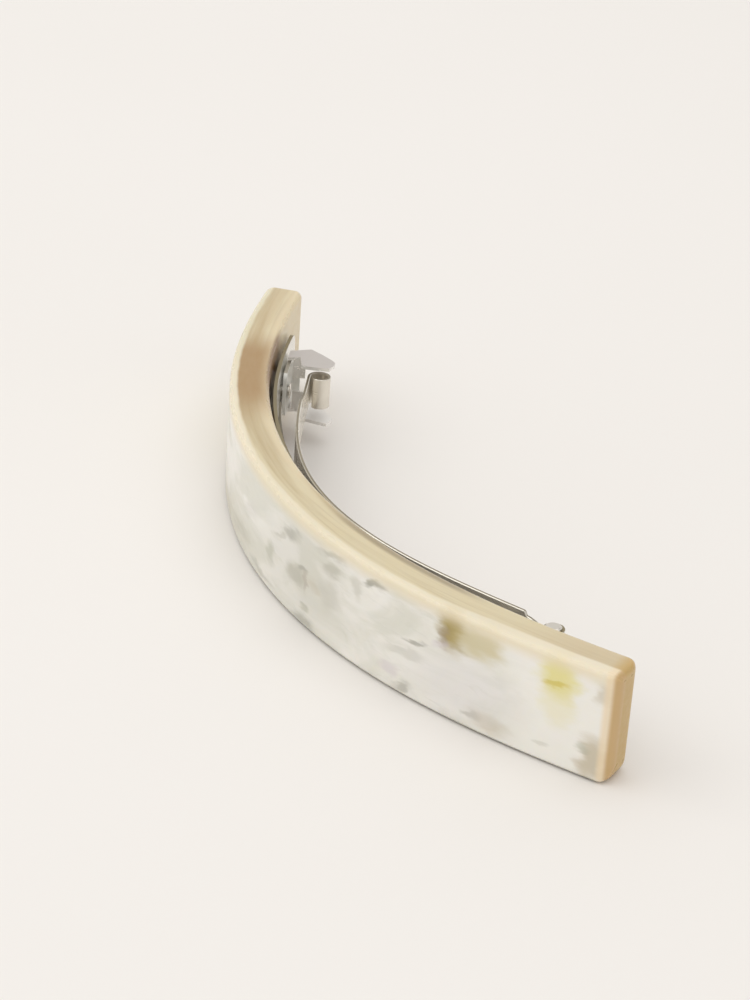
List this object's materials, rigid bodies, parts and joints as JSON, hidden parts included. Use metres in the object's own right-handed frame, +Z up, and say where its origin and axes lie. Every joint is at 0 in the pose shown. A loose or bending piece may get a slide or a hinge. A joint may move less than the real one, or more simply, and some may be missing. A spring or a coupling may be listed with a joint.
{
  "type": "hair barrette",
  "caption": "Curved rectangular hair barrette plate with a sprung metal clip, hinged clasp arm and squeeze-to-open catch on its hollow side.",
  "frame": {"origin": "middle of the long edge the barrette stands on, half way through the plate's thickness", "axes": "+X along the length towards the arm's hinge, +Y out of the hollow side where the clip is, +Z up across the plate's width"},
  "size_m": [0.0905, 0.0211, 0.0125],
  "materials": {
    "horn_look_acetate": "polished, marbled cream and honey",
    "plated_bar_steel": "nickel plated",
    "plated_arm_steel": "nickel plated, bright",
    "spring_leaf_steel": "plain spring steel",
    "plated_tab_steel": "nickel plated",
    "rivet_steel": "nickel plated"
  },
  "bodies": {
    "plate_and_bar": {"horn_plate": "horn_look_acetate", "base_bar": "plated_bar_steel", "hinge_pin": "rivet_steel", "catch_plate": "plated_bar_steel", "catch_rivet": "rivet_steel", "mount_rivet_clasp_end": "rivet_steel", "mount_rivet_hinge_end": "rivet_steel"},
    "arm": {"clasp_arm": "plated_arm_steel"},
    "leaf": {"tension_bar": "spring_leaf_steel"},
    "upper_tab": {"squeeze_tab_upper": "plated_tab_steel"},
    "lower_tab": {"squeeze_tab_lower": "plated_tab_steel"}
  },
  "joints": [
    {"name": "arm_hinge", "type": "hinge", "parent": "plate_and_bar", "child": "arm", "pos_m": [0.03302, 0.01486, 0.0066], "axis": [0, 0, -1], "range_deg": [0, 95]},
    {"name": "tension_bar_swing", "type": "hinge", "parent": "plate_and_bar", "child": "leaf", "pos_m": [0.0268, 0.01022, 0.0066], "axis": [0, 0, -1], "range_deg": [0, 4]},
    {"name": "upper_tab_squeeze", "type": "hinge", "parent": "plate_and_bar", "child": "upper_tab", "pos_m": [-0.03192, 0.0134, 0.0096], "axis": [-0.8493, 0.5278, 0], "range_deg": [0, 6], "stiffness_Nm_per_rad": 0.004},
    {"name": "lower_tab_squeeze", "type": "hinge", "parent": "plate_and_bar", "child": "lower_tab", "pos_m": [-0.03192, 0.0134, 0.0036], "axis": [0.8493, -0.5278, 0], "range_deg": [0, 6]}
  ],
  "couplings": [
    {"joint": "tension_bar_swing", "follows": "arm_hinge", "ratio": 0.04},
    {"joint": "lower_tab_squeeze", "follows": "upper_tab_squeeze", "ratio": 1}
  ]
}
